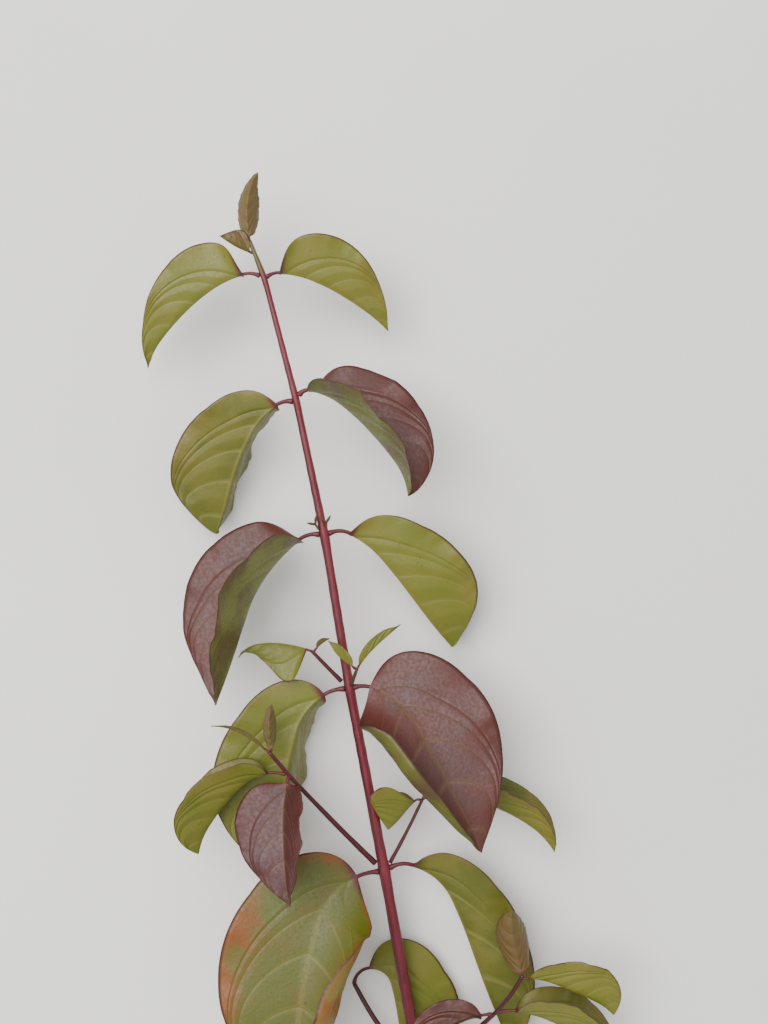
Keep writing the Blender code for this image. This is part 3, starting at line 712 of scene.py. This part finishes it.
def bud_piece(name, sizes, carrier):
    """A bud's mesh: three tubes P = C(s) + r(s) (cos a · N + sin a · B), each closed at a point."""
    placed, faces, facts = [], [], []
    for k, (line, radii) in enumerate(bud_lines(sizes, carrier)):
        wall = tube_surface(line, np.repeat(radii[:, None], RING, axis=1))
        ends = [np.broadcast_to(line[end], (1, RING, 3)) for end in (0, -1)]
        rows = np.concatenate((ends[0], wall, ends[1]))
        faces.append(tube_faces(len(rows)) + k * rows.shape[0] * RING)
        placed.append(rows.reshape(-1, 3))
        facts.append(tube_facts(np.linspace(0, 4, len(rows)) + k))
    return new_piece(name, np.vstack(placed), np.vstack(faces), dict(bark=np.vstack(facts)))


SPROUTS = {name: bud_piece(name + "_leaflets", sizes, COURSES["main_stem"])
           for name, sizes in BUDS.items()}
print("bud pieces:", len(SPROUTS))

# %% [markdown]
# ## Shared effects
#
# Two node groups give the masks that the finishes use. One draws a leaf's midrib and arched veins
# from its own coordinates, the other breaks a colour into soft patches, grain and spots.

# %% Node groups
VEIN_EDGE = (0.04, 0.2)
VEIN_START = 0.02
VEIN_FADE = 0.55
MIDRIB_EDGE = (0.015, 0.05)
PATCH_EDGE = (0.42, 0.62)
SPOT_EDGE = (0.62, 0.72)
GRAIN_FINENESS = 14.0


def feed(tree, socket, given):
    """Link a socket to another one, or give it a constant."""
    if isinstance(given, bpy.types.NodeSocket):
        tree.links.new(given, socket)
    else:
        socket.default_value = given


def maths(tree, operation, *given):
    """A math node of sockets or numbers; returns its output."""
    node = tree.nodes.new("ShaderNodeMath")
    node.operation = operation
    for socket, value in zip(node.inputs, given):
        feed(tree, socket, value)
    return node.outputs[0]


def smooth_step(tree, value, start, end, low=0.0, high=1.0):
    """A value eased from low at start to high at end; returns its output."""
    node = tree.nodes.new("ShaderNodeMapRange")
    node.interpolation_type = "SMOOTHSTEP"
    for key, given in (("Value", value), ("From Min", start), ("From Max", end),
                       ("To Min", low), ("To Max", high)):
        feed(tree, node.inputs[key], given)
    return node.outputs["Result"]


def mix(tree, factor, first, second):
    """A mix of two colours; returns its output."""
    node = tree.nodes.new("ShaderNodeMix")
    node.data_type = "RGBA"
    colours = [socket for socket in node.inputs if socket.type == "RGBA"]
    for socket, given in zip((node.inputs["Factor"], *colours), (factor, first, second)):
        feed(tree, socket, given)
    return next(socket for socket in node.outputs if socket.type == "RGBA")


def use_group(tree, group, **given):
    """A node of a shared group, its inputs fed by name; returns its outputs."""
    node = tree.nodes.new("ShaderNodeGroup")
    node.node_tree = group
    for key, value in given.items():
        feed(tree, node.inputs[key], value)
    return node.outputs


def new_group(name, inputs, outputs):
    """A shader node group with named sockets; returns its tree, what it is given and its result."""
    tree = bpy.data.node_groups.new(name, "ShaderNodeTree")
    for key, kind in inputs.items():
        tree.interface.new_socket(name=key, in_out="INPUT", socket_type="NodeSocket" + kind)
    for key in outputs:
        tree.interface.new_socket(name=key, in_out="OUTPUT", socket_type="NodeSocketFloat")
    given = tree.nodes.new("NodeGroupInput").outputs
    return tree, given, tree.nodes.new("NodeGroupOutput").inputs


def veins_group():
    """Midrib and veins: a vein lies wherever the vein phase of vein_phase passes a half."""
    tree, given, result = new_group(
        "leaf_veins", dict(Along="Float", Side="Float", Pairs="Float"),
        ("Midrib", "Vein", "Bulge"))
    s = given["Along"]
    a = maths(tree, "ABSOLUTE", given["Side"])
    bow = maths(tree, "MULTIPLY", maths(tree, "POWER", a, VEIN_CURVE), VEIN_BOW)
    w = maths(tree, "ADD", maths(tree, "MULTIPLY", a, VEIN_LEAN), bow)
    above = maths(tree, "SUBTRACT", s, w)
    v = maths(tree, "MAXIMUM", maths(tree, "DIVIDE", above, maths(tree, "SUBTRACT", 1.0, w)), 0.0)
    phase = maths(tree, "MULTIPLY", maths(tree, "POWER", v, VEIN_CROWDING), given["Pairs"])
    off = maths(tree, "SUBTRACT", maths(tree, "FRACT", phase), 0.5)
    away = maths(tree, "MULTIPLY", maths(tree, "ABSOLUTE", off), 2.0)
    line = smooth_step(tree, away, *VEIN_EDGE, 1.0, 0.0)
    line = maths(tree, "MULTIPLY", line, smooth_step(tree, above, 0.0, VEIN_START))
    fade = maths(tree, "SUBTRACT", 1.0, maths(tree, "MULTIPLY", a, VEIN_FADE))
    feed(tree, result["Vein"], maths(tree, "MULTIPLY", line, fade))
    feed(tree, result["Midrib"], smooth_step(tree, a, *MIDRIB_EDGE, 1.0, 0.0))
    feed(tree, result["Bulge"], maths(tree, "SQRT", away))
    return tree


def patches_group():
    """Soft patches, grain and spots: noise of the piece's own coordinates at two scales."""
    tree, given, result = new_group(
        "soft_patches", dict(Coordinates="Vector", Scale="Float", Seed="Float"),
        ("Patch", "Grain", "Spots"))

    def noise(finer, detail):
        node = tree.nodes.new("ShaderNodeTexNoise")
        node.noise_dimensions = "4D"
        node.inputs["Detail"].default_value = detail
        feed(tree, node.inputs["Vector"], given["Coordinates"])
        feed(tree, node.inputs["Scale"], maths(tree, "MULTIPLY", given["Scale"], finer))
        feed(tree, node.inputs["W"], given["Seed"])
        return node.outputs["Fac"]

    grain = noise(GRAIN_FINENESS, 3.0)
    feed(tree, result["Patch"], smooth_step(tree, noise(1.0, 4.0), *PATCH_EDGE))
    feed(tree, result["Grain"], grain)
    feed(tree, result["Spots"], smooth_step(tree, grain, *SPOT_EDGE))
    return tree


VEINS = veins_group()
PATCHES = patches_group()
print("groups:", VEINS.name, PATCHES.name)

# %% [markdown]
# ## Leaf finishes
#
# Every leaf mixes the same few layers: a colour for each side of each half, soft patches, a blush
# towards the margin, pale veins, a thin dark rim and the red of its stalk. The looks table says
# what differs from leaf to leaf, as the season has not turned them all alike.

# %% Leaf materials
DEPTH = 1.2
DARKNESS = 0.42


def shade(red, green, blue):
    """A display colour of 0 to 255 made linear, and deepened as the picture's tones fade it."""
    c = np.array((red, green, blue)) / 255
    linear = np.where(c <= 0.04045, c / 12.92, ((c + 0.055) / 1.055) ** 2.4)
    vivid = np.clip(linear.mean() + DEPTH * (linear - linear.mean()), 0.004, 1)
    return (*[float(x) for x in DARKNESS * vivid], 1.0)


UNDER = shade(146, 150, 62)
OLIVE = shade(120, 124, 22)
PALE = shade(172, 160, 84)
WINE = shade(112, 48, 34)
RED = shade(104, 48, 46)
PURPLE = shade(98, 62, 56)
GOLD = shade(140, 112, 44)
YOUNG = shade(132, 104, 58)
STALK = shade(120, 40, 48)
RIM = shade(92, 44, 30)
VEIN = shade(178, 170, 100)
TAN = shade(132, 104, 60)
ORANGE = shade(176, 104, 34)

# Colours of the underside, of the upper side's left and right halves, of patches, of the blush
# towards the margin and of veins, then how strong the last three are
LOOKS = {
    "leaf_green": dict(under=UNDER, left=OLIVE, right=OLIVE, patch=PALE, blush=ORANGE,
                       vein=VEIN, patchy=0.45, blushed=0.12, veined=0.55),
    "leaf_wine": dict(under=OLIVE, left=WINE, right=WINE, patch=PURPLE, blush=WINE,
                      vein=TAN, patchy=0.6, blushed=0.2, veined=0.45),
    "leaf_autumn": dict(under=PALE, left=OLIVE, right=OLIVE, patch=GOLD, blush=ORANGE,
                        vein=PALE, patchy=0.5, blushed=0.9, veined=0.35),
    "leaf_young": dict(under=YOUNG, left=YOUNG, right=YOUNG, patch=OLIVE, blush=WINE,
                       vein=TAN, patchy=0.5, blushed=0.25, veined=0.4),
}
OWN_LOOKS = {
    "leaf_2_left": dict(under=shade(124, 127, 38)),
    "leaf_2_right": dict(right=GOLD),
    "leaf_3_left": dict(left=PALE, under=UNDER),
    "leaf_5_right": dict(under=OLIVE),
    "side_5_left_red_leaf": dict(left=RED, right=RED),
}

# Where the blush and the rim start and are full across a half, how far the blush wanders, how
# strong rim, spots and grain are, where the stalk's red ends, and the range of roughness
BLUSH_EDGE = (0.55, 1.05)
BLUSH_WANDER = 0.3
RIM_EDGE = (0.955, 0.99)
RIM_STRENGTH = 0.85
SPOT_STRENGTH = 0.35
GRAIN_STRENGTH = 0.35
STALK_EDGE = (0.25, 0.75)
ROUGHNESS = (0.42, 0.58)
LEAF_SCALE = 60.0
SEED_STEP = 1.7


def new_material(name):
    """A node material; returns it with its tree, its shader and the object's coordinates."""
    material = bpy.data.materials.new(name)
    material.use_nodes = True
    tree = material.node_tree
    coordinates = tree.nodes.new("ShaderNodeTexCoord").outputs["Object"]
    return material, tree, tree.nodes["Principled BSDF"].inputs, coordinates


def read_facts(tree, name):
    """A vector attribute's three parts."""
    node = tree.nodes.new("ShaderNodeAttribute")
    node.attribute_name = name
    parts = tree.nodes.new("ShaderNodeSeparateXYZ")
    feed(tree, parts.inputs[0], node.outputs["Vector"])
    return parts.outputs


def relief(tree, shader, height, strength, distance):
    """Bump from a height, over a distance in metres."""
    node = tree.nodes.new("ShaderNodeBump")
    node.inputs["Strength"].default_value = strength
    node.inputs["Distance"].default_value = distance
    feed(tree, node.inputs["Height"], height)
    feed(tree, shader["Normal"], node.outputs["Normal"])


def leaf_material(name, finish, seed):
    """A leaf's finish, layer over layer from its coordinates s, t and side."""
    look = dict(LOOKS[finish], **OWN_LOOKS.get(name, {}))
    material, tree, shader, coordinates = new_material(name + "_" + finish)
    along, side, layer = read_facts(tree, "blade")
    stalk = tree.nodes.new("ShaderNodeAttribute")
    stalk.attribute_name = "stalk"
    veins = use_group(tree, VEINS, Along=along, Side=side, Pairs=VEIN_PAIRS)
    noise = use_group(tree, PATCHES, Coordinates=coordinates, Scale=LEAF_SCALE, Seed=seed)

    upper = mix(tree, smooth_step(tree, side, -0.02, 0.02), look["left"], look["right"])
    colour = mix(tree, layer, look["under"], upper)
    patch = maths(tree, "MULTIPLY", noise["Patch"], look["patchy"])
    colour = mix(tree, patch, colour, look["patch"])
    edge = maths(tree, "ABSOLUTE", side)
    wander = maths(tree, "MULTIPLY", maths(tree, "SUBTRACT", noise["Patch"], 0.5), BLUSH_WANDER)
    reach = smooth_step(tree, maths(tree, "ADD", edge, wander), *BLUSH_EDGE)
    colour = mix(tree, maths(tree, "MULTIPLY", reach, look["blushed"]), colour, look["blush"])
    lines = maths(tree, "MAXIMUM", veins["Midrib"], veins["Vein"])
    colour = mix(tree, maths(tree, "MULTIPLY", lines, look["veined"]), colour, look["vein"])
    colour = mix(tree, maths(tree, "MULTIPLY", noise["Spots"], SPOT_STRENGTH), colour, RIM)
    colour = mix(tree, smooth_step(tree, edge, *RIM_EDGE, 0.0, RIM_STRENGTH), colour, RIM)
    colour = mix(tree, smooth_step(tree, stalk.outputs["Fac"], *STALK_EDGE), colour, STALK)
    feed(tree, shader["Base Color"], colour)
    feed(tree, shader["Roughness"], smooth_step(tree, noise["Grain"], 0.3, 0.7, *ROUGHNESS))
    grain = maths(tree, "MULTIPLY", noise["Grain"], GRAIN_STRENGTH)
    relief(tree, shader, maths(tree, "ADD", veins["Bulge"], grain), 0.5, 0.6 * MM)
    return material


for k, (name, sizes) in enumerate(LEAVES.items()):
    BLADES[name].data.materials.append(leaf_material(name, sizes["finish"], SEED_STEP * k))
print("leaf finishes:", len(BLADES))

# %% [markdown]
# ## Bark finishes
#
# Young dogwood bark is smooth and red with small pale pores. Painted shade darkens its underside.
# Towards the growing tip it turns olive, so the main stem's colour is read from the distance to
# its cut.

# %% Bark materials
# Each bark's lit colour, then a darker copy that is both its painted shade and its streaks
BARKS = {
    "bark_red": (shade(158, 62, 72), shade(112, 34, 44)),
    "bark_dark": (shade(112, 36, 42), shade(78, 24, 30)),
    "bark_olive": (shade(122, 108, 58), shade(100, 60, 46)),
    "leaf_young": (shade(122, 100, 56), shade(110, 60, 44)),
}
PORE = shade(186, 120, 110)
TIP_OLIVE = shade(122, 112, 52)
OLIVE_TIP = 16.0
OLIVE_BLEND = 9.0
NEVER_OLIVE = 1000.0
LIT_EDGE = (-0.9, 0.3)
STREAK_STRENGTH = 0.45
PORE_STRENGTH = 0.4
BARK_ROUGHNESS = 0.45
BARK_SCALE = 90.0
BARK_SEED = 3.0


def bark_material(name, finish, olive_from):
    """Bark: a painted shade beneath, pores and grain, olive past a distance in millimetres."""
    lit_bark, dark = BARKS[finish]
    material, tree, shader, coordinates = new_material(name + "_" + finish)
    distance, side, _ = read_facts(tree, "bark")
    noise = use_group(tree, PATCHES, Coordinates=coordinates, Scale=BARK_SCALE, Seed=BARK_SEED)
    # Painted shade: the bark turns from its lit colour to the dark one where its ring faces down
    colour = mix(tree, smooth_step(tree, side, *LIT_EDGE), dark, lit_bark)
    # Streaks of the same dark colour, as the bark's own tone differs at random
    colour = mix(tree, maths(tree, "MULTIPLY", noise["Patch"], STREAK_STRENGTH), colour, dark)
    colour = mix(tree, maths(tree, "MULTIPLY", noise["Spots"], PORE_STRENGTH), colour, PORE)
    olive = smooth_step(tree, distance, olive_from, olive_from + OLIVE_BLEND)
    feed(tree, shader["Base Color"], mix(tree, olive, colour, TIP_OLIVE))
    shader["Roughness"].default_value = BARK_ROUGHNESS
    relief(tree, shader, noise["Grain"], 0.4, 0.3 * MM)
    return material


FINISH_OF = {"main_stem": "bark_red"}
FINISH_OF.update({name: sizes["finish"] for name, sizes in SIDE_STEMS.items()})
FINISH_OF.update({name: "leaf_young" for name in BUDS})
FINISH_OF.update({name: sizes["finish"] for name, sizes in LEAVES.items()})
for name, piece in {**STEMS, **SPROUTS}.items():
    olive_from = float(REACHES[-1]) - OLIVE_TIP if name == "main_stem" else NEVER_OLIVE
    piece.data.materials.append(bark_material(name, FINISH_OF[name], olive_from))
print("bark finishes:", len(STEMS) + len(SPROUTS))

# %% [markdown]
# ## Each piece takes its node's place
#
# A finished piece rides on the one rigid body and stands for its node of the frame.

# %% Replace the frame's nodes
for name, piece in {**STEMS, **BLADES, **SPROUTS}.items():
    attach(piece, "root")
    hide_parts(name)
print("pieces in place:", len(STEMS) + len(BLADES) + len(SPROUTS))

# %% [markdown]
# ## Floor, light and camera
#
# The floor is plain and pale. One wide soft light from above and a pale sky keep the shadows
# faint, as on a dull day. The camera looks straight down from 470 mm, turned so that the stem
# leans as it does in the photograph.

# %% Floor
HALF_FLOOR = 3.0
FLOOR_COLOUR = (0.90, 0.875, 0.83, 1.0)
FLOOR_SHADE = (*[0.94 * x for x in FLOOR_COLOUR[:3]], 1.0)
FLOOR_SCALE = 3.0

corners = [(-1, -1, 0), (1, -1, 0), (1, 1, 0), (-1, 1, 0)]
floor_mesh = bpy.data.meshes.new("floor")
floor_mesh.from_pydata((HALF_FLOOR * np.array(corners)).tolist(), [], [(0, 1, 2, 3)])
floor = bpy.data.objects.new("floor", floor_mesh)
bpy.context.scene.collection.objects.link(floor)
floor_finish, tree, shader, coordinates = new_material("floor_finish")
noise = use_group(tree, PATCHES, Coordinates=coordinates, Scale=FLOOR_SCALE)
feed(tree, shader["Base Color"], mix(tree, noise["Patch"], FLOOR_COLOUR, FLOOR_SHADE))
shader["Roughness"].default_value = 0.9
floor_mesh.materials.append(floor_finish)
print("floor side in metres:", 2 * HALF_FLOOR)

# %% Light
lamp_data = bpy.data.lights.new("soft_light", "AREA")
lamp_data.shape = "DISK"
lamp_data.size = 1.2
lamp_data.energy = 22.0
lamp = bpy.data.objects.new("soft_light", lamp_data)
lamp.location = (-0.35, 0.45, 1.1)
lamp.rotation_euler = (np.radians(-22), np.radians(-18), 0)
bpy.context.scene.collection.objects.link(lamp)

world = bpy.data.worlds.new("pale_sky")
world.use_nodes = True
sky = world.node_tree.nodes["Background"]
sky.inputs["Color"].default_value = (0.92, 0.95, 1.0, 1.0)
sky.inputs["Strength"].default_value = 0.85
bpy.context.scene.world = world
print("light:", lamp_data.energy, "W over", lamp_data.size, "m")

# %% Camera
SENSOR_HEIGHT = 24.0
VIEW_PIXELS = 1184
PICTURE_HEIGHT = 1024
STEM_LEAN = 10.3

camera_data = bpy.data.cameras.new("camera")
camera_data.sensor_fit = "VERTICAL"
camera_data.sensor_height = SENSOR_HEIGHT
camera_data.lens = SENSOR_HEIGHT * VIEW_PIXELS / PICTURE_HEIGHT
camera_data.clip_start = 0.01
camera = bpy.data.objects.new("camera", camera_data)
camera.location = (0.0211, 0.0732, 0.470)
camera.rotation_euler = (0, 0, float(np.radians(-STEM_LEAN)))
bpy.context.scene.collection.objects.link(camera)
bpy.context.scene.camera = camera
print("camera height in mm:", 1000 * camera.location.z)
